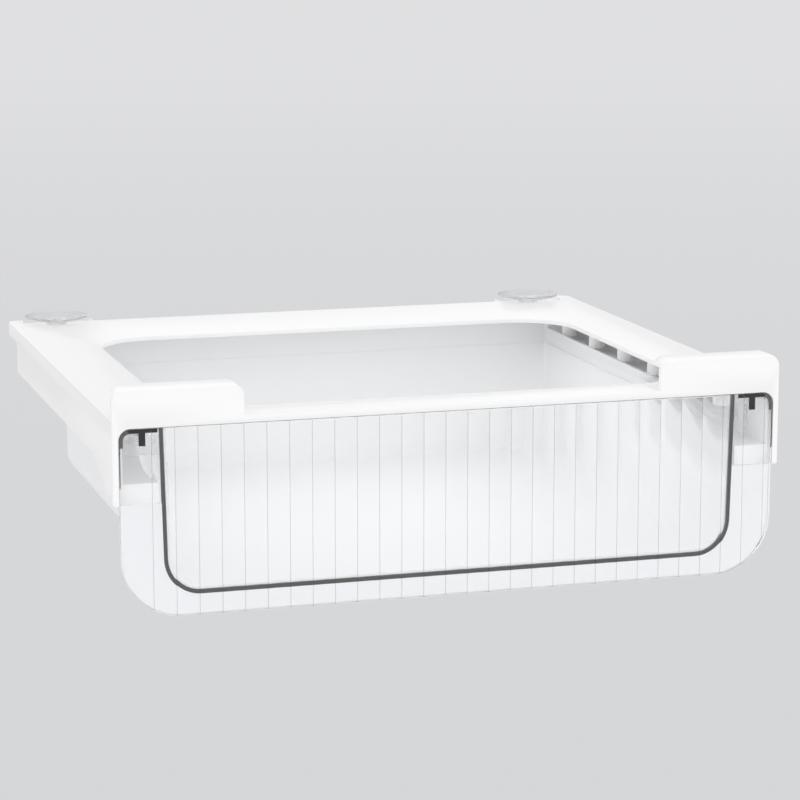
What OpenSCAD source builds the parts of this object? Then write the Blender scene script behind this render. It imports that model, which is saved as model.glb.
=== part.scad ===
// Hanging drawer for a refrigerator shelf.
// A moulded frame hooks over the front edge of a glass shelf and is held at the back by two
// suction cups. A clear-fronted drawer slides out of it on two rails, between guide rollers.
// The frame's top face is z = 0. The inner faces of the hooks, which meet the front edge of the
// shelf, lie at y = 0, and the drawer opens towards -y.

/* [Frame] */
// Width over the two sides
frame_w = 320; // [300:1:345]
// Depth from the front face to the straight part of the back edge
frame_d = 281; // [255:1:305]
// Thickness of the top plate
plate_t = 2.2; // [2:0.1:2.8]
// Height of the rim round the sides and the back
rim_h = 7; // [6:0.1:9]
// Thickness of the rim and of the front legs
rim_t = 2.5; // [2:0.1:3.2]
// Height of the bar across the front
bar_h = 3.2; // [2.8:0.1:4]
// Radius of the rounded back corners
corner_r = 5; // [2:0.5:8]

/* [Window] */
// Width of the side margins beside the window
window_side = 32.5; // [28:0.5:45]
// Margin in front of the window
window_front = 22; // [18:0.5:40]
// Margin behind the window
window_back = 59.5; // [52:0.5:80]
// Radius of its corners
window_r = 30; // [10:1:40]

/* [Hooks] */
// Width of each hook
hook_w = 60; // [40:1:80]
// Thickness of the hook's front wall
hook_t = 2.8; // [2.2:0.1:3.6]
// Clear height of the hook, for the edge of the shelf
hook_gap = 12.6; // [8:0.1:18]
// Thickness of the hook's lip
lip_t = 2.3; // [1.8:0.1:3]
// How far the lip reaches over the shelf
lip_reach = 9.2; // [6:0.1:14]
// Radius of the hook's upper corners
hook_r = 6; // [3:0.5:9]

/* [Legs] */
// Depth of a front leg below the top face
leg_drop = 38.2; // [36:0.1:42]
// Depth of a leg, front to back
leg_d = 6; // [5:0.5:10]
// Radius where the front bar turns into a leg
leg_r = 5.5; // [3:0.5:8]

/* [Rails] */
// Thickness of a rail's side wall
wall_t = 2.2; // [1.8:0.1:2.6]
// Depth of the side wall below the top face
wall_drop = 25.7; // [25:0.1:28]
// Thickness of the rail's floor
floor_t = 2; // [1.6:0.1:2.6]
// Depth of the floor's top face at the mouth, below the top face
mouth_drop = 28.8; // [27:0.1:31]
// Thickness of the band across the mouth
band_t = 2.8; // [2:0.1:4]
// Distance over which a rail widens to its mouth
flare_l = 50; // [44:1:60]
// Length of the straight stretch at the mouth
mouth_l = 16; // [12:1:22]
// Width of the rail's upper flange
flange_w = 10; // [9:0.1:10.5]
// Thickness of the rail's upper flange
flange_t = 2; // [1.6:0.1:2.6]
// Thickness of the wall that closes a rail at the back
end_t = 2.2; // [1.8:0.1:3]

/* [Screws] */
// Number of screws in each rail
screw_count = 4; // [2:1:5]
// Radius of the screw's shank
screw_r = 1.3; // [1.2:0.05:1.5]
// Radius of the screw's head
head_r = 2.6; // [2.2:0.1:3]
// Height of the screw's head
head_h = 1.7; // [1.4:0.1:2.2]
// Thickness of the pad that the screws bite into, under the plate
pad_t = 3; // [2.6:0.1:4]

/* [Rollers] */
// Number of rollers on each side
roller_count = 6; // [4:1:6]
// Distance from the front face to the first roller
roller_first = 25; // [20:0.5:30]
// Distance from the last roller to the straight part of the back edge
roller_last = 46; // [40:0.5:60]
// Radius of a roller
roller_r = 4.6; // [4.2:0.1:4.8]
// Length of a roller
roller_h = 10; // [9:0.1:10.4]
// Distance from a rail's outer face to the rollers' axes
roller_inset = 15.8; // [15.6:0.1:16.4]
// Radius of the pin that a roller turns on
pin_r = 1.25; // [1:0.05:1.5]
// Radius of the pin's head
pin_head_r = 2.3; // [2:0.1:2.5]
// Height of the pin's head
pin_head_h = 1.2; // [0.8:0.1:1.3]

/* [Suction cups] */
// Distance from a cup's axis to the side of the frame
cup_side = 25.5; // [24:0.5:32]
// Distance of a cup's axis behind the straight back edge
cup_back = 5; // [5:0.5:9]
// Radius of a cup
cup_r = 16.8; // [12:0.1:17.5]
// Height of a cup's rim above the top face
cup_rise = 3; // [2:0.1:5]
// Radius of the round seat that a cup lies in
seat_r = 19; // [18:0.1:20]
// Depth of the seat below the top face
seat_depth = 1.6; // [1:0.1:2]
// Radius of the cup's neck
neck_r = 3; // [2.5:0.1:3.5]
// How far the plate's corners reach behind the straight back edge
ear_l = 11; // [10:0.5:16]

/* [Drawer] */
// Depth of the drawer's rim below the top face
rim_drop = 12; // [11.5:0.1:12.5]
// Depth of the drawer's bottom below the top face
tub_drop = 79.8; // [60:0.2:120]
// Thickness of the drawer's walls
tub_t = 1.8; // [1.4:0.1:2.2]
// Height of the wider band round the drawer's rim
step_h = 8.2; // [7:0.1:10]
// How far that band stands out from the wall below it
step_out = 0.6; // [0.4:0.1:1]
// Lean of the drawer's side walls, in degrees
draft = 1.4; // [0:0.1:3]
// Radius of the drawer's lower edges
tub_r = 14; // [6:0.2:16]
// Radius of the drawer's upright edges at the back
tub_edge_r = 3; // [2.6:0.1:8]
// Depth of the top of the drawer's back wall below the top face
back_drop = 5; // [4.5:0.1:8]
// Room behind the drawer when it is closed
back_room = 22.5; // [16:0.5:30]
// Thickness of the flange that slides in the rails
slide_t = 1.6; // [1.4:0.1:2]
// Depth of the flange's top face below the drawer's rim
slide_drop = 3.2; // [2.6:0.1:3.6]
// Distance from the front face to the front end of the flange
slide_first = 30; // [24:0.5:60]
// Number of ribs under each flange
rib_count = 5; // [2:1:8]
// How far the drawer slides out before its stops meet
travel = 180; // [140:1:185]
// Thickness of the stops, front to back
stop_t = 2.5; // [2:0.1:4]
// Width of the stops
stop_w = 5; // [3:0.5:6]
// Height of the stops on the drawer's flange
stop_h = 5.5; // [5:0.1:6]

/* [Front panel] */
// Thickness of the panel at the crest of a flute
panel_t = 3.2; // [2.6:0.1:4]
// Depth of a flute
flute_depth = 1.2; // [0.5:0.1:1.6]
// Distance between flutes
flute_pitch = 10.55; // [8:0.05:14]
// Width of the ridge between two flutes
ridge_w = 0.3; // [0.2:0.05:0.8]
// Least width of the plain margin beside the flutes
flute_margin = 3; // [2:0.5:8]
// Depth of the panel's lower edge below the top face
panel_drop = 90.5; // [70:0.5:135]
// Radius of the panel's lower corners
panel_r = 28; // [12:1:36]
// Thickness of the strip between the panel and the drawer
seal_t = 1.2; // [0.8:0.1:2]
// Width of that strip
seal_w = 1.9; // [1.4:0.1:2.4]
// Thickness of the collar that the strip lies on
collar_t = 1.6; // [1.4:0.1:2.4]
// How far the collar stands out from the drawer's side walls
collar_out = 2; // [1:0.1:2]
// How far the collar reaches below the drawer's bottom
collar_low = 1.35; // [0.8:0.05:1.8]
// Radius of the collar's lower corners
collar_r = 17.3; // [12:0.1:24]

/* [Clearances] */
// Round the panel, inside the front bar and the legs
panel_gap = 0.5; // [0.3:0.05:1]
// Between the rollers and the drawer's rim
roller_gap = 0.3; // [0.2:0.05:0.6]
// Between the drawer's flange and the rail's floor
slide_gap = 0.3; // [0.2:0.05:0.6]
// Between the drawer's flange and the rail's side wall
side_gap = 1.3; // [0.6:0.1:2]
// Between the rail's floor and the drawer's rim
floor_gap = 2.3; // [2.3:0.1:2.8]
// Round a pin, inside its roller
turn_gap = 0.05; // [0.02:0.01:0.1]
// Above and below a roller
end_gap = 0.2; // [0.1:0.05:0.4]
// Between the closed panel and the rails' bands
stop_gap = 0.2; // [0.1:0.05:0.6]
// Round a fixed pin, screw or neck in its hole
fit_gap = 0.02; // [0.01:0.01:0.05]

/* [Hidden] */

$fn = 96;
eps = 0.01;

// Depth positions
front_y = -hook_t;
back_y = front_y + frame_d;
ear_y = back_y + ear_l;
panel_back_y = front_y + panel_t;
rail_front_y = panel_back_y + stop_gap;
rail_back_y = back_y - rim_t - 0.2;
seal_back_y = panel_back_y + seal_t;
tub_back_y = back_y - back_room;
slide_y = front_y + slide_first;

// Width positions, from the middle of the frame
half_w = frame_w / 2;
wall_x = half_w - rim_t;
flange_x = wall_x - flange_w;
roller_x = wall_x - roller_inset;
rim_x = roller_x - roller_r - roller_gap;
body_x = rim_x - step_out;
slide_x = wall_x - wall_t - side_gap;
floor_x = rim_x + floor_gap;
screw_x = wall_x - flange_w / 2 - 0.5;
cup_x = half_w - cup_side;
cup_y = back_y + cup_back;
panel_x = wall_x - panel_gap;

// Height positions
rail_top = -plate_t - pad_t;
floor_top = -wall_drop + floor_t;
flange_bottom = rail_top - flange_t;
boss_h = 0.6;
roller_top = -plate_t - boss_h - end_gap;
roller_bottom = roller_top - roller_h;
recess_r = pin_head_r + 0.3;
recess_h = pin_head_h + 0.3;
pin_head_top = roller_bottom + recess_h - 0.1;
pin_grip = plate_t - 0.6;
rim_z = -rim_drop;
step_z = rim_z - step_h;
back_top = -back_drop;
slide_z = rim_z - slide_drop;
slide_bottom = floor_top + slide_gap;
bottom_z = -tub_drop;
panel_top = -bar_h - panel_gap;
seal_top = panel_top - 0.4;
seat_t = seat_depth + 1.7;

// Stops: one near the back of each drawer flange, and one under each rail's upper flange
stop_x = slide_x - stop_w - 0.5;
tub_stop_y = tub_back_y - 10.5;
rail_stop_y = tub_stop_y - travel - stop_gap - stop_t;
rail_stop_z = slide_z + 2;

// Flutes
flute_count = floor(2 * (panel_x - flute_margin) / flute_pitch);
flute_half = (flute_pitch - ridge_w) / 2;
flute_r = (pow(flute_half, 2) + pow(flute_depth, 2)) / (2 * flute_depth);

frame_color = [0.96, 0.96, 0.96];
clear_color = [0.86, 0.92, 0.96, 0.45];
tub_color = [0.93, 0.95, 0.97];

// ---------------------------------------------------------------- shared shapes

// A rectangle with one radius at its two lower corners and one at its two upper corners.
// A radius of 0 leaves them sharp.
module rounded_2d(x0, x1, y0, y1, low_r, high_r) {
  translate([x0, y0 + low_r]) square([x1 - x0, y1 - y0 - low_r - high_r]);
  if (low_r > 0) {
    translate([x0 + low_r, y0]) square([x1 - x0 - 2 * low_r, 2 * low_r]);
    for (x = [x0 + low_r, x1 - low_r]) translate([x, y0 + low_r]) circle(low_r);
  }
  if (high_r > 0) {
    translate([x0 + high_r, y1 - 2 * high_r]) square([x1 - x0 - 2 * high_r, 2 * high_r]);
    for (x = [x0 + high_r, x1 - high_r]) translate([x, y1 - high_r]) circle(high_r);
  }
}

// Carries a shape drawn as seen from the front to the depths from y0 to y1
module from_front(y0, y1) {
  translate([0, y1, 0]) rotate([90, 0, 0]) linear_extrude(y1 - y0) children();
}

// Carries a shape drawn as seen from the side (y across, z up) to the widths from x0 to x1
module from_side(x0, x1) {
  translate([x0, 0, 0]) rotate([90, 0, 90]) linear_extrude(x1 - x0) children();
}

// Draws the children at the right, or mirrored to the left
module at_side(side) {
  mirror([side == "left" ? 1 : 0, 0, 0]) children();
}

// Draws the children on both sides
module both_sides() {
  children();
  mirror([1, 0, 0]) children();
}

// Height along an S of two equal arcs that falls by drop over length run, at a distance s
function s_fall(s, run, drop) =
  let (r = (run * run + drop * drop) / (4 * drop))
  s <= 0 ? 0 :
  s >= run ? drop :
  s < run / 2 ? r - sqrt(r * r - s * s) :
  drop - (r - sqrt(r * r - (run - s) * (run - s)));

// Points of the lower edge of a rail, from the back to the mouth
function rail_edge(z_back, z_mouth) = let (steps = 16) concat(
  [[rail_back_y, z_back]],
  [for (i = [0 : steps])
    let (s = flare_l * i / steps)
    [rail_front_y + mouth_l + flare_l - s, z_back - s_fall(s, flare_l, z_back - z_mouth)]],
  [[rail_front_y, z_mouth]]
);

function reversed(points) = [for (i = [len(points) - 1 : -1 : 0]) points[i]];

function roller_y(i) =
  front_y + roller_first + (i - 1) * (frame_d - roller_first - roller_last) / (roller_count - 1);

function screw_y(i) =
  let (first = rail_front_y + 40, last = rail_back_y - 26)
  first + (last - first) * i / (screw_count - 1);

// ---------------------------------------------------------------- top frame

module plate_outline() {
  difference() {
    union() {
      rounded_2d(-half_w, half_w, front_y, back_y, 0, corner_r);
      both_sides()
        rounded_2d(cup_x - seat_r, half_w, back_y - 3 * corner_r, ear_y, 0, corner_r);
    }
    rounded_2d(-half_w + window_side, half_w - window_side, front_y + window_front,
      back_y - window_back, window_r, window_r);
  }
}

// The rim's two sides and its back, seen from above
module rim_2d() {
  intersection() {
    union() {
      rounded_2d(-half_w, half_w, front_y, back_y, 0, corner_r);
      both_sides()
        rounded_2d(cup_x - seat_r, half_w, back_y - 3 * corner_r, ear_y, 0, corner_r);
    }
    union() {
      both_sides() translate([wall_x, front_y]) square([rim_t, ear_y - front_y]);
      translate([-half_w, back_y - rim_t]) square([frame_w, rim_t]);
    }
  }
}

// A hook seen from the front, at the right
module hook_front_2d() {
  rounded_2d(half_w - hook_w, half_w, -bar_h, hook_gap + lip_t, 0, hook_r);
}

// A hook seen from the side: the wall, the lip and the round between them
module hook_side_2d() {
  outer_r = 2;
  inner_r = 1;
  difference() {
    union() {
      translate([front_y, -bar_h])
        square([hook_t, bar_h + hook_gap + lip_t - outer_r]);
      translate([front_y + outer_r, hook_gap])
        square([hook_t + lip_reach - outer_r, lip_t]);
      translate([front_y + outer_r, hook_gap + lip_t - outer_r]) circle(outer_r);
      translate([-eps, hook_gap - inner_r]) square([inner_r + eps, inner_r + eps]);
    }
    translate([inner_r, hook_gap - inner_r]) circle(inner_r);
  }
}

module hook() {
  intersection() {
    from_front(front_y, lip_reach) hook_front_2d();
    from_side(half_w - hook_w, half_w) hook_side_2d();
  }
}

// A front leg, with the round that turns it into the front bar
module leg() {
  foot_r = 1;
  from_front(front_y, front_y + leg_d)
    rounded_2d(wall_x, half_w, -leg_drop, 0, foot_r, 0);
  from_front(front_y, front_y + hook_t) difference() {
    translate([wall_x - leg_r, -bar_h - leg_r]) square([leg_r + eps, leg_r + eps]);
    translate([wall_x - leg_r, -bar_h - leg_r]) circle(leg_r);
  }
}

// The round pocket in a back corner that a suction cup lies in
module cup_seat() {
  translate([0, 0, -seat_t]) linear_extrude(seat_t) intersection() {
    rounded_2d(cup_x - seat_r, half_w, back_y + eps, ear_y, 0, corner_r);
    translate([cup_x, cup_y]) circle(seat_r + 1.6);
  }
}

module top_frame() {
  color(frame_color) difference() {
    union() {
      translate([0, 0, -plate_t]) linear_extrude(plate_t) plate_outline();
      translate([0, 0, -rim_h]) linear_extrude(rim_h) rim_2d();
      translate([-half_w, front_y, -bar_h]) cube([frame_w, hook_t, bar_h]);
      both_sides() {
        hook();
        leg();
        cup_seat();
        translate([flange_x, rail_front_y, rail_top])
          cube([flange_w + eps, rail_back_y - rail_front_y, pad_t + eps]);
        for (i = [1 : roller_count])
          translate([roller_x, roller_y(i), -plate_t - boss_h])
            cylinder(r = pin_r + 1.1, h = boss_h + eps);
      }
    }
    both_sides() {
      translate([cup_x, cup_y, -seat_depth]) cylinder(r = seat_r - 0.6, h = seat_depth + 1);
      translate([cup_x, cup_y, -seat_t - 1]) cylinder(r = neck_r + fit_gap, h = seat_t + 2);
      for (i = [1 : roller_count])
        translate([roller_x, roller_y(i), -plate_t - boss_h - eps])
          cylinder(r = pin_r + fit_gap, h = boss_h + pin_grip + eps);
      for (i = [0 : screw_count - 1])
        translate([screw_x, screw_y(i), rail_top - eps])
          cylinder(r = screw_r + fit_gap, h = pad_t + 1 + eps);
    }
  }
}

// ---------------------------------------------------------------- rails

module rail(side) {
  foot_r = 2;
  color(frame_color) at_side(side) difference() {
    union() {
      from_side(wall_x - wall_t, wall_x)
        polygon(concat([[rail_front_y, rail_top], [rail_back_y, rail_top]],
          rail_edge(-wall_drop, -leg_drop + 0.2)));
      from_side(floor_x, wall_x - eps)
        polygon(concat(rail_edge(floor_top - floor_t, -mouth_drop - floor_t),
          reversed(rail_edge(floor_top, -mouth_drop))));
      translate([flange_x, rail_front_y, flange_bottom])
        cube([flange_w - eps, rail_back_y - rail_front_y, flange_t]);
      translate([floor_x, rail_front_y, -leg_drop + 0.2])
        cube([wall_x - floor_x - eps, band_t, leg_drop - 0.2 - mouth_drop]);
      translate([floor_x, rail_back_y - end_t, -wall_drop + eps])
        cube([wall_x - floor_x - eps, end_t, wall_drop + rail_top - eps]);
      translate([stop_x, rail_stop_y, rail_stop_z])
        cube([stop_w, stop_t, flange_bottom - rail_stop_z + eps]);
    }
    for (i = [0 : screw_count - 1])
      translate([screw_x, screw_y(i), flange_bottom - 1])
        cylinder(r = screw_r + 0.25, h = flange_t + 2);
  }
}

module rail_left() { rail("left"); }
module rail_right() { rail("right"); }

// Pan-head screws with a cross recess, driven up through the rail's flange
module rail_screws(side) {
  recess_w = 0.6;
  recess_l = 2.6;
  color([0.75, 0.76, 0.78]) at_side(side)
    for (i = [0 : screw_count - 1]) translate([screw_x, screw_y(i), flange_bottom]) difference() {
      union() {
        cylinder(r = screw_r, h = flange_t + pad_t + 0.6);
        translate([0, 0, -head_h]) rotate_extrude() intersection() {
          translate([0, 0]) square([head_r, head_h]);
          translate([0, head_h + 1.6]) circle(head_h + 1.6);
        }
      }
      for (turn = [0, 90]) rotate([0, 0, turn])
        translate([-recess_l / 2, -recess_w / 2, -head_h - eps]) cube([recess_l, recess_w, 0.8]);
    }
}

module rail_screws_left() { rail_screws("left"); }
module rail_screws_right() { rail_screws("right"); }

// ---------------------------------------------------------------- suction cups

// Half a section through a cup: a shallow dish on a neck, with a button under the seat
module cup_section() {
  edge_t = 0.7;
  dish_t = 1.6;
  button_r = neck_r + 1.6;
  button_h = 2.4;
  polygon([
    [0, -seat_t - button_h],
    [button_r - 1, -seat_t - button_h],
    [button_r, -seat_t - button_h + 1],
    [button_r, -seat_t],
    [neck_r, -seat_t],
    [neck_r, -seat_depth],
    [neck_r + 2.2, -seat_depth],
    [neck_r + 2.6, -seat_depth + 1.1],
    [cup_r * 0.62, cup_rise - 2.5],
    [cup_r * 0.86, cup_rise - 1.4],
    [cup_r, cup_rise - edge_t],
    [cup_r, cup_rise],
    [cup_r - 0.9, cup_rise - 0.1],
    [cup_r * 0.82, cup_rise - 0.8],
    [cup_r * 0.5, cup_rise - dish_t],
    [0, cup_rise - dish_t - 0.5]
  ]);
}

module suction_cup(side) {
  color(clear_color) at_side(side)
    translate([cup_x, cup_y, 0]) rotate_extrude() cup_section();
}

module suction_cup_left() { suction_cup("left"); }
module suction_cup_right() { suction_cup("right"); }

// ---------------------------------------------------------------- rollers

module roller_pins(side) {
  color([0.8, 0.8, 0.82]) at_side(side)
    for (i = [1 : roller_count]) translate([roller_x, roller_y(i), 0]) {
      translate([0, 0, pin_head_top - eps])
        cylinder(r = pin_r, h = pin_grip - plate_t - pin_head_top + eps - 0.1);
      translate([0, 0, pin_head_top - pin_head_h]) cylinder(r = pin_head_r, h = pin_head_h);
    }
}

module roller_pins_left() { roller_pins("left"); }
module roller_pins_right() { roller_pins("right"); }

// Half a section through a roller: a bored drum with soft edges and a recess for the pin's head
module roller_section() {
  edge = 0.5;
  bore_r = pin_r + turn_gap;
  polygon([
    [recess_r, 0],
    [roller_r - edge, 0],
    [roller_r, edge],
    [roller_r, roller_h - edge],
    [roller_r - edge, roller_h],
    [bore_r, roller_h],
    [bore_r, recess_h],
    [recess_r, recess_h]
  ]);
}

module roller(side, i) {
  if (i <= roller_count)
    color([0.97, 0.97, 0.97]) at_side(side)
      translate([roller_x, roller_y(i), roller_bottom]) rotate_extrude() roller_section();
}

// ---------------------------------------------------------------- drawer

// Points along an arc, from angle a0 to angle a1
function arc(cx, cy, r, a0, a1) = let (steps = 10)
  [for (i = [0 : steps]) let (a = a0 + (a1 - a0) * i / steps) [cx + r * cos(a), cy + r * sin(a)]];

// The drawer's body seen from the front: down its leaning left side, along the bottom and up
// the right side. inset moves the line inwards by a wall's thickness.
function body_curve(inset) =
  let (
    x_top = body_x - inset / cos(draft),
    r = tub_r - inset,
    cz = bottom_z + tub_r,
    cx = x_top - (step_z - cz) * tan(draft) - r / cos(draft)
  )
  concat(
    [[-x_top, step_z]],
    arc(-cx, cz, r, 180 + draft, 270),
    arc(cx, cz, r, 270, 360 - draft),
    [[x_top, step_z]]
  );

// The same outline closed at the height top
module body_2d(inset, top) {
  x_top = body_x - inset / cos(draft) + (top - step_z) * tan(draft);
  polygon(concat([[x_top, top], [-x_top, top]], body_curve(inset)));
}

// The drawer's body as a solid block, or its hollow when inset is a wall's thickness
module body_block(inset, y0, top) {
  r = tub_r - inset;
  x1 = body_x - inset;
  y1 = tub_back_y - step_out - inset;
  z0 = bottom_z + inset;
  intersection() {
    from_front(y0, y1 + 1) body_2d(inset, top);
    from_side(-half_w, half_w)
      polygon(concat([[y0, top], [y0, z0]], arc(y1 - r, z0 + r, r, 270, 360), [[y1, top]]));
    translate([0, 0, bottom_z - 1]) linear_extrude(top - bottom_z + 2)
      back_round_2d(x1, y0 - 1, y1, tub_edge_r - inset);
  }
}

// An outline seen from above that is round at its two back corners
module back_round_2d(x1, y0, y1, r) {
  polygon(concat([[-x1, y0], [x1, y0]],
    arc(x1 - r, y1 - r, r, 0, 90), arc(-x1 + r, y1 - r, r, 90, 180)));
}

// The flange at one side, with its lip, ribs and stop, that slides along a rail
module slide_flange() {
  lip_x = slide_x - slide_t;
  flange_end_y = tub_back_y - 4;
  from_front(slide_y, flange_end_y) polygon([
    [body_x - 1, slide_z],
    [slide_x, slide_z],
    [slide_x, slide_bottom],
    [lip_x, slide_bottom],
    [lip_x, slide_z - slide_t],
    [body_x - 1, slide_z - slide_t]
  ]);
  for (i = [0 : rib_count - 1])
    translate([body_x - 1, rib_y(i), slide_bottom + 1.5])
      cube([lip_x - body_x + 1 + slide_t / 2, slide_t, slide_z - slide_bottom - 1.5 - slide_t / 2]);
  translate([stop_x, tub_stop_y, slide_z - slide_t / 2])
    cube([stop_w, stop_t, stop_h + slide_t / 2]);
}

function rib_y(i) =
  let (first = slide_y + 1, last = tub_back_y - 7)
  first + (last - first) * i / (rib_count - 1);

// The outer edge of the front collar seen from the front, drawn like the body's. inset moves the
// line inwards by the width of the strip.
function collar_curve(inset) =
  let (
    x_step = body_x + collar_out - inset / cos(draft),
    x_top = x_step + (seal_top - step_z) * tan(draft),
    r = collar_r - inset,
    cz = bottom_z - collar_low + collar_r,
    cx = x_step - (step_z - cz) * tan(draft) - r / cos(draft)
  )
  concat(
    [[-x_top, seal_top]],
    arc(-cx, cz, r, 180 + draft, 270),
    arc(cx, cz, r, 270, 360 - draft),
    [[x_top, seal_top]]
  );

// The collar round the drawer's front edge, which rises to the front bar at both sides
module front_collar() {
  inner_x = rim_x - tub_t;
  from_front(seal_back_y, seal_back_y + collar_t) polygon(concat(
    collar_curve(0),
    [[inner_x, seal_top], [inner_x, step_z]],
    reversed(body_curve(tub_t)),
    [[-inner_x, step_z], [-inner_x, seal_top]]
  ));
}

// The sloping brace behind the collar at one side
module collar_brace() {
  y0 = seal_back_y + collar_t / 2;
  y1 = seal_back_y + collar_t + 2;
  from_side(rim_x - tub_t, rim_x) polygon([
    [y0, step_z + 1],
    [y1 + seal_top - rim_z, step_z + 1],
    [y1 + seal_top - rim_z, rim_z],
    [y1, seal_top],
    [y0, seal_top]
  ]);
}

module drawer_tub() {
  cut_y = tub_back_y - tub_edge_r - 1;
  color(tub_color) union() {
    difference() {
      union() {
        body_block(0, seal_back_y, step_z + 1);
        translate([0, 0, step_z]) linear_extrude(back_top - step_z)
          back_round_2d(rim_x, seal_back_y, tub_back_y, tub_edge_r);
        both_sides() slide_flange();
      }
      body_block(tub_t, seal_back_y - 1, step_z + 1);
      translate([0, 0, step_z]) linear_extrude(back_top - step_z + 1)
        back_round_2d(rim_x - tub_t, seal_back_y - 1, tub_back_y - tub_t, tub_edge_r - tub_t);
      translate([-rim_x - 1, seal_back_y - 1, rim_z])
        cube([2 * rim_x + 2, cut_y - seal_back_y + 1, back_top - rim_z + 1]);
    }
    front_collar();
    both_sides() collar_brace();
  }
}

// The dark U of the drawer's front edge, seen from the front
module seal_2d() {
  polygon(concat(collar_curve(0), reversed(collar_curve(seal_w))));
}

module panel_seal() {
  color([0.32, 0.33, 0.35]) from_front(panel_back_y, seal_back_y) seal_2d();
}

// The clear front: a slab with hollow flutes down its face and narrow ridges between them
module front_panel() {
  color(clear_color) difference() {
    from_front(front_y, panel_back_y)
      rounded_2d(-panel_x, panel_x, -panel_drop, panel_top, panel_r, leg_r - panel_gap);
    for (i = [0 : flute_count - 1])
      translate([(i + 0.5 - flute_count / 2) * flute_pitch, front_y + flute_depth - flute_r,
        -panel_drop - 1])
        cylinder(r = flute_r, h = panel_drop + 1);
  }
}

// ---------------------------------------------------------------- assembly

top_frame();
rail_left();
rail_right();
rail_screws_left();
rail_screws_right();
suction_cup_left();
suction_cup_right();
roller_pins_left();
roller_pins_right();
roller("left", 1);  // roller_left_1
roller("left", 2);  // roller_left_2
roller("left", 3);  // roller_left_3
roller("left", 4);  // roller_left_4
roller("left", 5);  // roller_left_5
roller("left", 6);  // roller_left_6
roller("right", 1);  // roller_right_1
roller("right", 2);  // roller_right_2
roller("right", 3);  // roller_right_3
roller("right", 4);  // roller_right_4
roller("right", 5);  // roller_right_5
roller("right", 6);  // roller_right_6
drawer_tub();
panel_seal();
front_panel();
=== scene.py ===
import math

import bmesh
import bpy
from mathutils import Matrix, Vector


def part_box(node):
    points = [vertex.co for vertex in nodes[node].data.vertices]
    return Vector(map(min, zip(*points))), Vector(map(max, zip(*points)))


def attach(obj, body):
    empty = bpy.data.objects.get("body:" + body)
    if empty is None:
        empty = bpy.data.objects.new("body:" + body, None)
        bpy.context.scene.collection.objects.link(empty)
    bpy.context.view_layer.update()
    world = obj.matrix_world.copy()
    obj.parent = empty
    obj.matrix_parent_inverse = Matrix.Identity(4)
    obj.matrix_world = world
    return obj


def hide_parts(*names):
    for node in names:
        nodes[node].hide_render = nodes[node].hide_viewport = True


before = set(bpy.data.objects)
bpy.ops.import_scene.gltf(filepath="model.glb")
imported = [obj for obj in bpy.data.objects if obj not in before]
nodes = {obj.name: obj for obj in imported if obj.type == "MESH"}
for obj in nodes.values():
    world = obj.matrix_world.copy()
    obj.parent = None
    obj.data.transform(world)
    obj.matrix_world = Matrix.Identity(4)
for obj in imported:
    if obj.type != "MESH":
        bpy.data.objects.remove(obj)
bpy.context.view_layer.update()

MM = 0.001
SIDES = ("left", "right")


# ---------------------------------------------------------------- camera, floor and light


def set_camera():
    """The photograph's viewpoint: above the drawer and to its left."""
    data = bpy.data.cameras.new("camera")
    data.sensor_width = 36
    data.lens = 126.45
    data.clip_start, data.clip_end = 0.05, 60
    camera = bpy.data.objects.new("camera", data)
    camera.location = (-0.3893, -1.2032, 0.2437)
    camera.rotation_euler = Vector((0.28357, 0.94024, -0.18854)).to_track_quat("-Z", "Y").to_euler()
    bpy.context.scene.collection.objects.link(camera)
    bpy.context.scene.camera = camera


def area_light(name, location, target, size, power):
    """A lamp of a given width and height that faces its target."""
    data = bpy.data.lights.new(name, "AREA")
    data.shape = "RECTANGLE"
    data.size, data.size_y = size
    data.energy = power
    light = bpy.data.objects.new(name, data)
    light.location = location
    direction = Vector(target) - Vector(location)
    light.rotation_euler = direction.to_track_quat("-Z", "Y").to_euler()
    bpy.context.scene.collection.objects.link(light)
    return light


NEAR_GREY = (0.672, 0.676, 0.690)
FAR_GREY = (0.745, 0.747, 0.757)
WORLD_LEVEL = 1.1
FLOOR_REACH = 30
FLOOR_Z = -0.75
FLOOR_NEAR, FLOOR_FAR = 1.5, 14


def backdrop_rays(tree):
    """A mask that is 1 for the rays that show the backdrop: straight ones, and those that only
    met gloss or glass on their way. Rays that carry light off a matt surface are 0."""
    path = tree.nodes.new("ShaderNodeLightPath")
    seen = path.outputs["Is Camera Ray"]
    for name in ("Is Glossy Ray", "Is Transmission Ray"):
        either = tree.nodes.new("ShaderNodeMath")
        either.operation = "MAXIMUM"
        tree.links.new(seen, either.inputs[0])
        tree.links.new(path.outputs[name], either.inputs[1])
        seen = either.outputs[0]
    unspread = tree.nodes.new("ShaderNodeMath")
    unspread.operation = "LESS_THAN"
    unspread.inputs[1].default_value = 0.5
    tree.links.new(path.outputs["Diffuse Depth"], unspread.inputs[0])
    both = tree.nodes.new("ShaderNodeMath")
    both.operation = "MULTIPLY"
    tree.links.new(seen, both.inputs[0])
    tree.links.new(unspread.outputs[0], both.inputs[1])
    return both.outputs[0]


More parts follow.
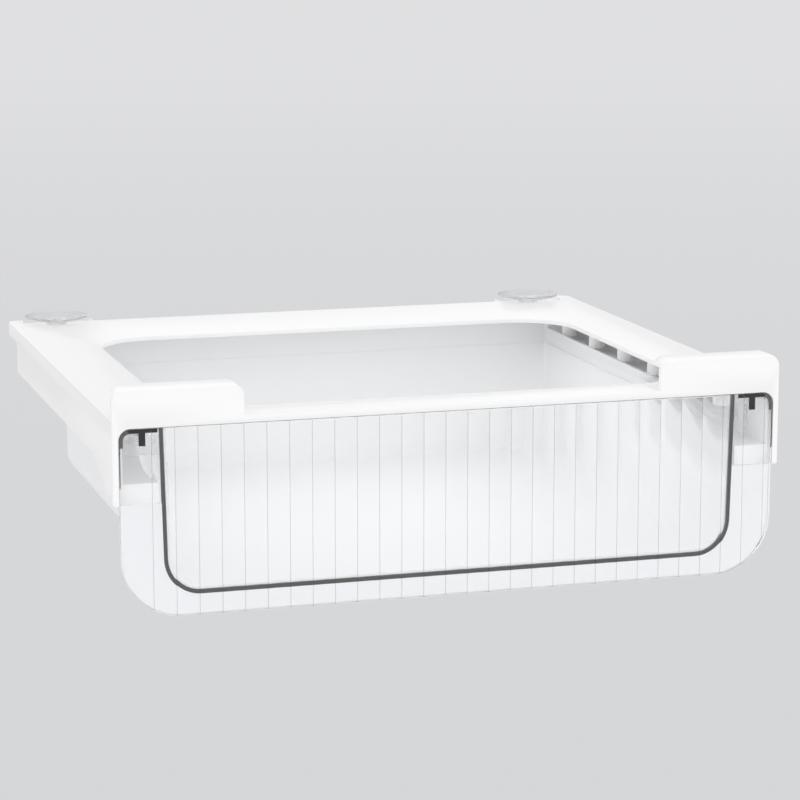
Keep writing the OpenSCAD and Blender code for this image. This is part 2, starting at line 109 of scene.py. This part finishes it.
def set_world():
    """Even white light from all round. The rays that show the backdrop see grey instead."""
    world = bpy.data.worlds.new("studio_world")
    bpy.context.scene.world = world
    world.use_nodes = True
    tree = world.node_tree
    tree.nodes.clear()
    out = tree.nodes.new("ShaderNodeOutputWorld")
    light = tree.nodes.new("ShaderNodeBackground")
    light.inputs["Color"].default_value = (1, 1, 1, 1)
    light.inputs["Strength"].default_value = WORLD_LEVEL
    seen = tree.nodes.new("ShaderNodeBackground")
    seen.inputs["Color"].default_value = (*FAR_GREY, 1)
    mix = tree.nodes.new("ShaderNodeMixShader")
    tree.links.new(backdrop_rays(tree), mix.inputs[0])
    tree.links.new(light.outputs[0], mix.inputs[1])
    tree.links.new(seen.outputs[0], mix.inputs[2])
    tree.links.new(mix.outputs[0], out.inputs[0])


def set_floor():
    """A pale floor far enough below the hanging drawer to stay even. It grows lighter with distance."""
    mesh = bpy.data.meshes.new("floor")
    corners = [(x * FLOOR_REACH, y * FLOOR_REACH, FLOOR_Z) for x, y in ((-1, -1), (1, -1), (1, 1), (-1, 1))]
    mesh.from_pydata(corners, [], [(0, 1, 2, 3)])
    floor = bpy.data.objects.new("floor", mesh)
    bpy.context.scene.collection.objects.link(floor)
    material = bpy.data.materials.new("studio_floor")
    material.use_nodes = True
    tree = material.node_tree
    tree.nodes.clear()
    out = tree.nodes.new("ShaderNodeOutputMaterial")
    matt = tree.nodes.new("ShaderNodeBsdfDiffuse")
    matt.inputs["Color"].default_value = (0.8, 0.8, 0.8, 1)
    place = tree.nodes.new("ShaderNodeTexCoord")
    distance = tree.nodes.new("ShaderNodeVectorMath")
    distance.operation = "LENGTH"
    tree.links.new(place.outputs["Object"], distance.inputs[0])
    far = tree.nodes.new("ShaderNodeMapRange")
    far.interpolation_type = "SMOOTHSTEP"
    far.inputs["From Min"].default_value = FLOOR_NEAR
    far.inputs["From Max"].default_value = FLOOR_FAR
    tree.links.new(distance.outputs["Value"], far.inputs["Value"])
    grey = tree.nodes.new("ShaderNodeMix")
    grey.data_type = "RGBA"
    grey.inputs["A"].default_value = (*NEAR_GREY, 1)
    grey.inputs["B"].default_value = (*FAR_GREY, 1)
    tree.links.new(far.outputs["Result"], grey.inputs["Factor"])
    seen = tree.nodes.new("ShaderNodeEmission")
    tree.links.new(grey.outputs["Result"], seen.inputs["Color"])
    mix = tree.nodes.new("ShaderNodeMixShader")
    tree.links.new(backdrop_rays(tree), mix.inputs[0])
    tree.links.new(matt.outputs[0], mix.inputs[1])
    tree.links.new(seen.outputs[0], mix.inputs[2])
    tree.links.new(mix.outputs[0], out.inputs[0])
    mesh.materials.append(material)


def set_light():
    """One weak lamp, and a wide card that only gloss shows, for the sheen of the clear front."""
    area_light("key_front", location=(-1.6, -2.6, 1.5), target=(0, 0.1, -0.04), size=(2.4, 1.8), power=2)
    card = area_light(
        "gloss_card", location=(0.6, -2.0, -0.2), target=(0, 0, -0.2), size=(4.4, 1.08), power=13
    )
    card.visible_diffuse = card.visible_transmission = False


# ---------------------------------------------------------------- materials


def new_group(name, inputs, outputs):
    """A shader node group with its sockets: (name, kind, value) for inputs, (name, kind) for outputs."""
    group = bpy.data.node_groups.new(name, "ShaderNodeTree")
    for socket, kind, value in inputs:
        made = group.interface.new_socket(name=socket, in_out="INPUT", socket_type="NodeSocket" + kind)
        made.default_value = value
    for socket, kind in outputs:
        group.interface.new_socket(name=socket, in_out="OUTPUT", socket_type="NodeSocket" + kind)
    return group, group.nodes.new("NodeGroupInput"), group.nodes.new("NodeGroupOutput")


def moulded_skin_group():
    """Injection-moulded plastic: faint flow marks in the colour, gloss that varies and a fine grain."""
    group, given, out = new_group(
        "moulded_skin",
        [
            ("Colour", "Color", (0.9, 0.9, 0.9, 1)),
            ("Shade", "Color", (0.85, 0.85, 0.86, 1)),
            ("Flow", "Float", 0.25),
            ("Gloss", "Float", 0.3),
            ("Vary", "Float", 0.1),
            ("Grain", "Float", 0.1),
        ],
        [("Colour", "Color"), ("Roughness", "Float"), ("Normal", "Vector")],
    )
    make, link = group.nodes.new, group.links.new
    place = make("ShaderNodeTexCoord")
    flow = make("ShaderNodeTexNoise")
    flow.inputs["Scale"].default_value = 16
    flow.inputs["Detail"].default_value = 3
    flow.inputs["Distortion"].default_value = 0.8
    link(place.outputs["Object"], flow.inputs["Vector"])
    amount = make("ShaderNodeMath")
    amount.operation = "MULTIPLY"
    link(flow.outputs["Fac"], amount.inputs[0])
    link(given.outputs["Flow"], amount.inputs[1])
    tint = make("ShaderNodeMix")
    tint.data_type = "RGBA"
    link(amount.outputs[0], tint.inputs["Factor"])
    link(given.outputs["Colour"], tint.inputs["A"])
    link(given.outputs["Shade"], tint.inputs["B"])
    link(tint.outputs["Result"], out.inputs["Colour"])

    patch = make("ShaderNodeTexNoise")
    patch.inputs["Scale"].default_value = 45
    patch.inputs["Detail"].default_value = 2
    link(place.outputs["Object"], patch.inputs["Vector"])
    gloss = make("ShaderNodeMath")
    gloss.operation = "MULTIPLY_ADD"
    link(patch.outputs["Fac"], gloss.inputs[0])
    link(given.outputs["Vary"], gloss.inputs[1])
    link(given.outputs["Gloss"], gloss.inputs[2])
    link(gloss.outputs[0], out.inputs["Roughness"])

    grain = make("ShaderNodeTexNoise")
    grain.inputs["Scale"].default_value = 1400
    grain.inputs["Detail"].default_value = 2
    link(place.outputs["Object"], grain.inputs["Vector"])
    bump = make("ShaderNodeBump")
    bump.inputs["Distance"].default_value = 0.0001
    link(given.outputs["Grain"], bump.inputs["Strength"])
    link(grain.outputs["Fac"], bump.inputs["Height"])
    link(bump.outputs["Normal"], out.inputs["Normal"])
    return group


MOULDED = moulded_skin_group()


def moulded(name, colour, shade, flow, gloss, vary, grain, **settings):
    """A Principled material whose colour, gloss and grain come from the moulded skin."""
    material = bpy.data.materials.new(name)
    material.use_nodes = True
    tree = material.node_tree
    surface = tree.nodes["Principled BSDF"]
    skin = tree.nodes.new("ShaderNodeGroup")
    skin.node_tree = MOULDED
    given = {
        "Colour": (*colour, 1),
        "Shade": (*shade, 1),
        "Flow": flow,
        "Gloss": gloss,
        "Vary": vary,
        "Grain": grain,
    }
    for socket, value in given.items():
        skin.inputs[socket].default_value = value
    tree.links.new(skin.outputs["Colour"], surface.inputs["Base Color"])
    tree.links.new(skin.outputs["Roughness"], surface.inputs["Roughness"])
    tree.links.new(skin.outputs["Normal"], surface.inputs["Normal"])
    for socket, value in settings.items():
        surface.inputs[socket.replace("_", " ")].default_value = value
    return material


FRAME_WHITE = moulded(
    "frame_white_plastic", colour=(0.93, 0.93, 0.935), shade=(0.89, 0.89, 0.9),
    flow=0.3, gloss=0.28, vary=0.08, grain=0.10,
)
TUB_MILKY = moulded(
    "tray_milky_plastic", colour=(0.965, 0.97, 0.978), shade=(0.95, 0.955, 0.967),
    flow=0.3, gloss=0.3, vary=0.06, grain=0.01, IOR=1.49,
)
ROLLER_WHITE = moulded(
    "roller_white_nylon", colour=(0.92, 0.92, 0.92), shade=(0.86, 0.86, 0.86),
    flow=0.3, gloss=0.38, vary=0.1, grain=0.15,
)
# Near-black rubber of the seal; the same colour paints the shade strips at the clear front's upper corners.
SEAL_AND_PAINTED_SHADE = moulded(
    "seal_rubber_and_painted_shade", colour=(0.012, 0.012, 0.013), shade=(0.009, 0.009, 0.010),
    flow=0.4, gloss=0.45, vary=0.1, grain=0.3,
)
STEEL = moulded(
    "steel", colour=(0.62, 0.63, 0.65), shade=(0.5, 0.51, 0.53),
    flow=0.4, gloss=0.22, vary=0.1, grain=0.25, Metallic=1.0,
)
PANEL_CLEAR = moulded(
    "panel_clear_plastic", colour=(0.985, 0.992, 1.0), shade=(0.975, 0.985, 0.995),
    flow=0.3, gloss=0.02, vary=0.01, grain=0.0, Transmission_Weight=0.95, IOR=1.49,
)
# Painted shade: the clear front's ridges are tinted darker so that they show as dark hairlines.
RIDGE_PAINTED_SHADE = moulded(
    "ridge_painted_shade", colour=(0.42, 0.43, 0.45), shade=(0.40, 0.41, 0.43),
    flow=0.3, gloss=0.02, vary=0.01, grain=0.0, Transmission_Weight=0.95, IOR=1.49,
)
FROSTED = moulded(
    "frosted_back", colour=(0.96, 0.968, 0.985), shade=(0.94, 0.95, 0.97),
    flow=0.4, gloss=0.45, vary=0.1, grain=0.1, Alpha=0.9, IOR=1.49,
)
CUP_CLEAR = moulded(
    "cup_clear_rubber", colour=(0.985, 0.99, 0.995), shade=(0.96, 0.97, 0.98),
    flow=0.3, gloss=0.16, vary=0.03, grain=0.0, Transmission_Weight=1.0, IOR=1.4, Alpha=0.8,
)

CLEAR_HEIGHT = (-48 * MM, -36 * MM)
CLEAR_SIDE = (126 * MM, 132 * MM)
CLEAR_FRONT = (85 * MM, 115 * MM)


def fade(tree, value, start, end, low, high):
    """A smooth change from low to high while value goes from start to end."""
    ramp = tree.nodes.new("ShaderNodeMapRange")
    ramp.interpolation_type = "SMOOTHSTEP"
    tree.links.new(value, ramp.inputs["Value"])
    for socket, given in (("From Min", start), ("From Max", end), ("To Min", low), ("To Max", high)):
        if isinstance(given, bpy.types.NodeSocket):
            tree.links.new(given, ramp.inputs[socket])
        else:
            ramp.inputs[socket].default_value = given
    return ramp.outputs["Result"]


def milky_depth(material, thick, thin):
    """How much the milky plastic hides: thick everywhere but high at the front of the side walls."""
    tree = material.node_tree
    place = tree.nodes.new("ShaderNodeTexCoord")
    split = tree.nodes.new("ShaderNodeSeparateXYZ")
    tree.links.new(place.outputs["Object"], split.inputs[0])
    outward = tree.nodes.new("ShaderNodeMath")
    outward.operation = "ABSOLUTE"
    tree.links.new(split.outputs["X"], outward.inputs[0])
    upper = fade(tree, split.outputs["Z"], *CLEAR_HEIGHT, thick, thin)
    side = fade(tree, outward.outputs[0], *CLEAR_SIDE, thick, upper)
    opacity = fade(tree, split.outputs["Y"], *CLEAR_FRONT, side, thick)
    tree.links.new(opacity, tree.nodes["Principled BSDF"].inputs["Alpha"])


def pass_light(material, share):
    """Lets a share of the light through see-through plastic unbent, so that what lies behind is lit."""
    tree = material.node_tree
    alpha = tree.nodes["Principled BSDF"].inputs["Alpha"]
    path = tree.nodes.new("ShaderNodeLightPath")
    carries = tree.nodes.new("ShaderNodeMath")
    carries.operation = "MAXIMUM"
    tree.links.new(path.outputs["Is Shadow Ray"], carries.inputs[0])
    tree.links.new(path.outputs["Is Diffuse Ray"], carries.inputs[1])
    kept = tree.nodes.new("ShaderNodeMath")
    kept.operation = "MULTIPLY_ADD"
    kept.inputs[1].default_value = -share
    kept.inputs[2].default_value = 1.0
    tree.links.new(carries.outputs[0], kept.inputs[0])
    opacity = tree.nodes.new("ShaderNodeMath")
    opacity.operation = "MULTIPLY"
    opacity.inputs[1].default_value = alpha.default_value
    if alpha.links:
        tree.links.new(alpha.links[0].from_socket, opacity.inputs[1])
    tree.links.new(kept.outputs[0], opacity.inputs[0])
    tree.links.new(opacity.outputs[0], alpha)


milky_depth(TUB_MILKY, thick=0.8, thin=0.28)
pass_light(TUB_MILKY, share=0.45)
pass_light(PANEL_CLEAR, share=0.9)
pass_light(RIDGE_PAINTED_SHADE, share=0.8)
pass_light(CUP_CLEAR, share=0.8)


def dress(obj, material):
    """Puts one material on every face of a piece."""
    obj.data.materials.clear()
    obj.data.materials.append(material)
    for face in obj.data.polygons:
        face.material_index = 0


def soften(obj, width):
    """Joins the CAD mesh's split points and rounds its edges."""
    weld = obj.modifiers.new("weld", "WELD")
    weld.merge_threshold = 2e-6
    bevel = obj.modifiers.new("soft_edges", "BEVEL")
    bevel.width = width
    bevel.segments = 2
    bevel.limit_method = "ANGLE"
    bevel.angle_limit = math.radians(35)
    bevel.harden_normals = True
    for face in obj.data.polygons:
        face.use_smooth = True


# ---------------------------------------------------------------- pieces


def add_piece(name, bm, material, body, slot, *stands_for):
    """Makes an object of a mesh under construction and hangs it on its body."""
    bmesh.ops.recalc_face_normals(bm, faces=bm.faces)
    mesh = bpy.data.meshes.new(name)
    bm.to_mesh(mesh)
    bm.free()
    obj = bpy.data.objects.new(name, mesh)
    bpy.context.scene.collection.objects.link(obj)
    dress(obj, material)
    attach(obj, body)
    if stands_for:
        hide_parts(*stands_for)
    return obj


FLUTE_PITCH = 10.55 * MM
FLUTE_MARGIN = 3.0 * MM
FLUTE_DEPTH = 0.55 * MM
RIDGE_W = 1.0 * MM
PANEL_TOP_R = 5.0 * MM
PANEL_LOW_R = 28.0 * MM
PANEL_EDGE = 0.35 * MM
FLUTE_STEPS = 8
RIDGE_STEPS = (0.2, 0.36, 0.64, 0.8)
CORNER_STEPS = 18
COLUMN_GAP = 0.02 * MM
# How near a ridge a face must lie to take the darker tint of painted shade.
PAINTED_LINE_REACH = 0.05 * MM


def panel_columns(half, count, chord):
    """Where the clear front is sliced: along each flute and ridge, and closer round the corners."""
    across = {half - PANEL_EDGE, PANEL_EDGE - half}
    for flute in range(count):
        middle = (flute + 0.5 - count / 2) * FLUTE_PITCH
        for step in range(-FLUTE_STEPS, FLUTE_STEPS + 1):
            across.add(middle + chord * step / FLUTE_STEPS)
        for step in RIDGE_STEPS:
            across.add(middle + chord + RIDGE_W * step)
    for radius in (PANEL_TOP_R, PANEL_LOW_R):
        for step in range(CORNER_STEPS + 1):
            reach = half - radius * (1 - math.cos(math.radians(90 * step / CORNER_STEPS)))
            across.update((reach, -reach))
    columns = [-half]
    for x in sorted(across):
        if x - columns[-1] > COLUMN_GAP and half - x > COLUMN_GAP:
            columns.append(x)
    return columns + [half]


def fluted_panel():
    """The clear front: hollow upright flutes with narrow ridges on its face, and a flat back. The ridges
    get a darker tint, a painted shade that draws them as dark hairlines.
    """
    low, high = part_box("front_panel")
    half, front, back = high.x, low.y, high.y
    count = math.floor(2 * (half - FLUTE_MARGIN) / FLUTE_PITCH)
    chord = (FLUTE_PITCH - RIDGE_W) / 2
    turn = 2 * math.atan(2 * FLUTE_DEPTH / FLUTE_PITCH)
    flute_r = chord / math.sin(turn)
    ridge_r = RIDGE_W / 2 / math.sin(turn)
    ridges = [(ridge - count / 2) * FLUTE_PITCH for ridge in range(count + 1)]

    def face_y(x):
        """Depth of the fluted face at x."""
        part = abs((x / FLUTE_PITCH + count / 2) % 1 * FLUTE_PITCH - FLUTE_PITCH / 2)
        if abs(x) > count * FLUTE_PITCH / 2:
            return front
        if part > chord:
            return front + ridge_r - math.sqrt(ridge_r**2 - (FLUTE_PITCH / 2 - part) ** 2)
        return front + FLUTE_DEPTH - flute_r + math.sqrt(flute_r**2 - part**2)

    def cut(x, radius):
        """How far a rounded corner takes the outline in at x."""
        into = max(0.0, abs(x) - (half - radius))
        return radius - math.sqrt(max(0.0, radius**2 - into**2))

    bm = bmesh.new()
    rows = []
    edge = PANEL_EDGE
    for x in panel_columns(half, count, chord):
        ease = edge if abs(x) == half else 0.0
        near, far = face_y(x) + ease, back - ease
        top, foot = high.z - cut(x, PANEL_TOP_R), low.z + cut(x, PANEL_LOW_R)
        rows.append([bm.verts.new((x, y, z)) for y, z in (
            (near + edge, top), (near, top - edge), (near, foot + edge), (near + edge, foot),
            (far - edge, foot), (far, foot + edge), (far, top - edge), (far - edge, top),
        )])
    for near, far in zip(rows, rows[1:]):
        for a in range(8):
            b = (a + 1) % 8
            bm.faces.new((near[a], near[b], far[b], far[a]))
    bm.faces.new(rows[0])
    bm.faces.new(rows[-1])
    obj = add_piece("fluted_panel", bm, PANEL_CLEAR, "drawer", "panel_clear", "front_panel")
    # Faces on the ridges take the darker ridge material: painted shade for the hairlines.
    obj.data.materials.append(RIDGE_PAINTED_SHADE)
    for face in obj.data.polygons:
        face.use_smooth = True
        on_face = face.center.y < front + FLUTE_DEPTH and face.normal.y < -0.9
        if on_face and min(abs(face.center.x - ridge) for ridge in ridges) < PAINTED_LINE_REACH:
            face.material_index = 1
    obj.data.set_sharp_from_angle(angle=math.radians(30))


def arc(centre, radius, start, end, steps=14):
    """Points along an arc, seen from the front, with angles in degrees."""
    return [
        (
            centre[0] + radius * math.cos(math.radians(start + (end - start) * step / steps)),
            centre[1] + radius * math.sin(math.radians(start + (end - start) * step / steps)),
        )
        for step in range(steps + 1)
    ]


def flat_band(outer, inner, near, far):
    """A thin upright band between two lines of as many points, from depth near to depth far."""
    bm = bmesh.new()
    rows = [
        [bm.verts.new((x, y, z)) for y, (x, z) in ((near, a), (near, b), (far, b), (far, a))]
        for a, b in zip(outer, inner)
    ]
    for one, two in zip(rows, rows[1:]):
        for k in range(4):
            bm.faces.new((one[k], two[k], two[(k + 1) % 4], one[(k + 1) % 4]))
    bm.faces.new(rows[0])
    bm.faces.new(rows[-1])
    return bm


COLLAR_R = 17.3 * MM
COLLAR_LEAN = 1.4
MOUTH_LOW = -38.5 * MM
FIELD_EDGE = 0.6 * MM
FIELD_BACK = (0.02 * MM, 0.12 * MM)


def frosted_field():
    """The frosted back of the clear front, outside the dark strip and below the rails' mouths."""
    low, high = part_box("front_panel")
    side_x, corner_x = high.x - FIELD_EDGE, high.x - PANEL_LOW_R
    corner_z, corner_r = low.z + PANEL_LOW_R, PANEL_LOW_R - FIELD_EDGE
    outer = [(-side_x, MOUTH_LOW)]
    outer += arc((-corner_x, corner_z), corner_r, 180, 270)
    outer += arc((corner_x, corner_z), corner_r, 270, 360)
    outer += [(side_x, MOUTH_LOW)]
    seal_low, seal_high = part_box("panel_seal")
    lean = math.radians(COLLAR_LEAN)
    top_x = seal_high.x - (seal_high.z - MOUTH_LOW) * math.tan(lean)
    centre_z = seal_low.z + COLLAR_R
    centre_x = seal_high.x - (seal_high.z - centre_z) * math.tan(lean) - COLLAR_R / math.cos(lean)
    inner = [(-top_x, MOUTH_LOW)]
    inner += arc((-centre_x, centre_z), COLLAR_R, 180 + COLLAR_LEAN, 270)
    inner += arc((centre_x, centre_z), COLLAR_R, 270, 360 - COLLAR_LEAN)
    inner += [(top_x, MOUTH_LOW)]
    near, far = (high.y + depth for depth in FIELD_BACK)
    bm = flat_band(outer, inner, near, far)
    add_piece("frosted_field", bm, FROSTED, "drawer", "panel_clear")


STRIP_W = 1.7 * MM
STRIP_START = 139.6 * MM
STRIP_END = -11.8 * MM
STRIP_DEPTH = (0.01 * MM, 0.7 * MM)
TAIL_W = 0.35 * MM
TAIL_END = -30.0 * MM
TAB_X = 145.2 * MM
TAB_W = 2.9 * MM
TAB_END = -11.3 * MM


def painted_corner_shade(side):
    """A painted shade: a black strip round an upper corner of the clear front, with its short tab and thin
    tail, drawn where the clear front shows deep shade.
    """
    low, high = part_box("front_panel")
    half, top = high.x, high.z
    sign = -1 if side == "left" else 1

    def strip(name, outer, inner):
        """One band of the strip, drawn on the right and taken to this side."""
        lines = [[(sign * x, z) for x, z in line] for line in (outer, inner)]
        near, far = (low.y + depth for depth in STRIP_DEPTH)
        bm = flat_band(*lines, near, far)
        # Each band is painted shade, in the seal's near-black material.
        add_piece(name + "_" + side, bm, SEAL_AND_PAINTED_SHADE, "drawer", "seal_grey")

    centre = (half - PANEL_TOP_R, top - PANEL_TOP_R)
    strip(
        "painted_corner_shade",
        [(STRIP_START, top)] + arc(centre, PANEL_TOP_R, 90, 0) + [(half, STRIP_END)],
        [(STRIP_START, top - STRIP_W)] + arc(centre, PANEL_TOP_R - STRIP_W, 90, 0)
        + [(half - STRIP_W, STRIP_END)],
    )
    tail_x = half - TAIL_W
    strip("painted_shade_tail", [(half, STRIP_END), (half, TAIL_END)], [(tail_x, STRIP_END), (tail_x, TAIL_END)])
    tab_top = top - STRIP_W
    strip(
        "painted_shade_tab",
        [(TAB_X, tab_top), (TAB_X, TAB_END)],
        [(TAB_X + TAB_W, tab_top), (TAB_X + TAB_W, TAB_END)],
    )


def lathe(profile, centre, turns=96):
    """A closed solid of revolution about an upright axis; profile holds (radius, height) in metres."""
    bm = bmesh.new()
    rings = []
    for radius, height in profile:
        if radius < 1e-6:
            rings.append([bm.verts.new((centre[0], centre[1], height))] * turns)
        else:
            rings.append([
                bm.verts.new((
                    centre[0] + radius * math.cos(math.tau * turn / turns),
                    centre[1] + radius * math.sin(math.tau * turn / turns),
                    height,
                ))
                for turn in range(turns)
            ])
    for low, high in zip(rings, rings[1:]):
        for turn in range(turns):
            after = (turn + 1) % turns
            corners = []
            for corner in (low[turn], low[after], high[after], high[turn]):
                if corner not in corners:
                    corners.append(corner)
            bm.faces.new(corners)
    return bm


def smooth_line(points, steps=6):
    """A rounder line through the points: each stretch is a cubic that runs on from its neighbours."""
    line = []
    for i in range(len(points) - 1):
        before = points[max(i - 1, 0)]
        a, b = points[i], points[i + 1]
        after = points[min(i + 2, len(points) - 1)]
        for step in range(steps):
            t = step / steps
            line.append(tuple(
                0.5 * (2 * a[k] + (b[k] - before[k]) * t
                       + (2 * before[k] - 5 * a[k] + 4 * b[k] - after[k]) * t**2
                       + (3 * a[k] - before[k] - 3 * b[k] + after[k]) * t**3)
                for k in (0, 1)
            ))
    return line + [points[-1]]


CUP_BUTTON = ((0, 0), (3.4, 0), (4.3, 0.3), (4.6, 1.0), (4.6, 2.4), (3.0, 2.4))
CUP_NECK = ((3.0, -1.6), (5.2, -1.6))
CUP_UNDER = ((5.2, -1.6), (6.0, -0.4), (10.4, 0.5), (14.4, 1.5))
CUP_LIP = ((0, -0.5), (0, -0.15), (-0.3, 0), (-0.7, -0.05))
CUP_BOWL = ((13.8, -0.75), (8.4, -1.6), (0, -2.1))


def suction_cup(side):
    """A clear dish on a neck, with a rolled rim, and a button under the frame's seat."""
    node = "suction_cup_" + side
    low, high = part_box(node)
    centre = ((low.x + high.x) / 2, (low.y + high.y) / 2)
    rim = (high.x - low.x) / 2

    def drawn(points, from_axis, height):
        """Points given in mm from a radius and a height."""
        return [(from_axis + across * MM, height + up * MM) for across, up in points]

    lip = drawn(CUP_LIP, rim, high.z)
    under = smooth_line(drawn(CUP_UNDER, 0, 0) + drawn([(-0.2, -0.8)], rim, high.z))
    bowl = smooth_line([lip[-1]] + drawn(CUP_BOWL, 0, high.z))
    profile = drawn(CUP_BUTTON, 0, low.z) + drawn(CUP_NECK, 0, 0) + under[1:] + lip + bowl[1:]
    obj = add_piece("clear_cup_" + side, lathe(profile, centre), CUP_CLEAR, "frame", "cup_clear", node)
    for face in obj.data.polygons:
        face.use_smooth = True
    obj.data.set_sharp_from_angle(angle=math.radians(38))


# ---------------------------------------------------------------- the object

set_camera()
set_world()
set_floor()
set_light()

fluted_panel()
frosted_field()
for side in SIDES:
    # Painted shade at each upper corner of the clear front.
    painted_corner_shade(side)
    suction_cup(side)

for name, node in nodes.items():
    if name.startswith(("top_frame", "rail_left", "rail_right")):
        dress(node, FRAME_WHITE)
        soften(node, 0.35 * MM)
    elif name.startswith(("roller_pins", "rail_screws")):
        dress(node, STEEL)
        soften(node, 0.1 * MM)
    elif name.startswith("roller_"):
        dress(node, ROLLER_WHITE)
        soften(node, 0.15 * MM)
    elif name == "drawer_tub":
        dress(node, TUB_MILKY)
        soften(node, 0.3 * MM)
    elif name == "panel_seal":
        dress(node, SEAL_AND_PAINTED_SHADE)

bpy.context.scene.view_settings.view_transform = "Standard"
